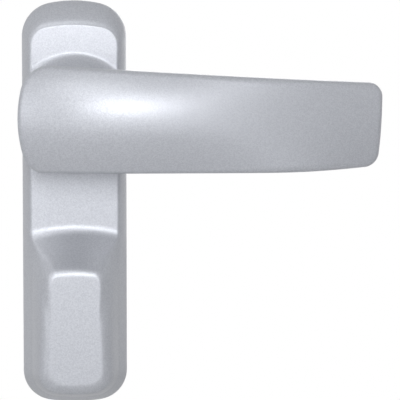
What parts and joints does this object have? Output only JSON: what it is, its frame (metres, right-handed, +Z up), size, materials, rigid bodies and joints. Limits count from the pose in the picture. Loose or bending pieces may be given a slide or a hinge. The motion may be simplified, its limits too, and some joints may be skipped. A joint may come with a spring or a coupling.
{
  "type": "lever door trim",
  "caption": "Outside lever handle on a long narrow blind escutcheon with a boxed-out lower bulge, sprung return and a square spindle.",
  "frame": {"origin": "on the spindle's axis, in the plane of the door face that the trim seats on", "axes": "+Y into the door along the spindle, +Z up, +X the way the lever points"},
  "size_m": [0.1509, 0.105, 0.1723],
  "materials": {
    "painted_casting": "satin",
    "zinc_plated_steel": "satin",
    "bright_steel": "satin",
    "spring_steel": "satin",
    "acetal": "matte",
    "black_rubber": "matte"
  },
  "bodies": {
    "trim": {"escutcheon_cover": "painted_casting", "back_plate": "zinc_plated_steel", "door_gasket": "black_rubber", "cover_screws": "zinc_plated_steel", "fixing_pillars": "zinc_plated_steel", "neck_bush": "acetal", "rear_bush": "acetal", "stop_pins": "bright_steel", "spring_post": "bright_steel", "return_spring": "spring_steel"},
    "lever": {"lever_handle": "painted_casting", "square_spindle": "bright_steel", "drive_cam": "zinc_plated_steel", "cam_pin": "bright_steel", "spring_sleeve": "acetal", "retaining_ring": "spring_steel", "disc_spring": "spring_steel", "thrust_washer": "bright_steel", "neck_seal": "black_rubber", "grub_screw": "spring_steel"}
  },
  "joints": [
    {"name": "lever_turn", "type": "hinge", "parent": "trim", "child": "lever", "pos_m": [0, 0, 0], "axis": [0, 1, 0], "range_deg": [0, 45], "stiffness_Nm_per_rad": 1, "springref_deg": -28.65, "deforming": ["return_spring"]}
  ]
}
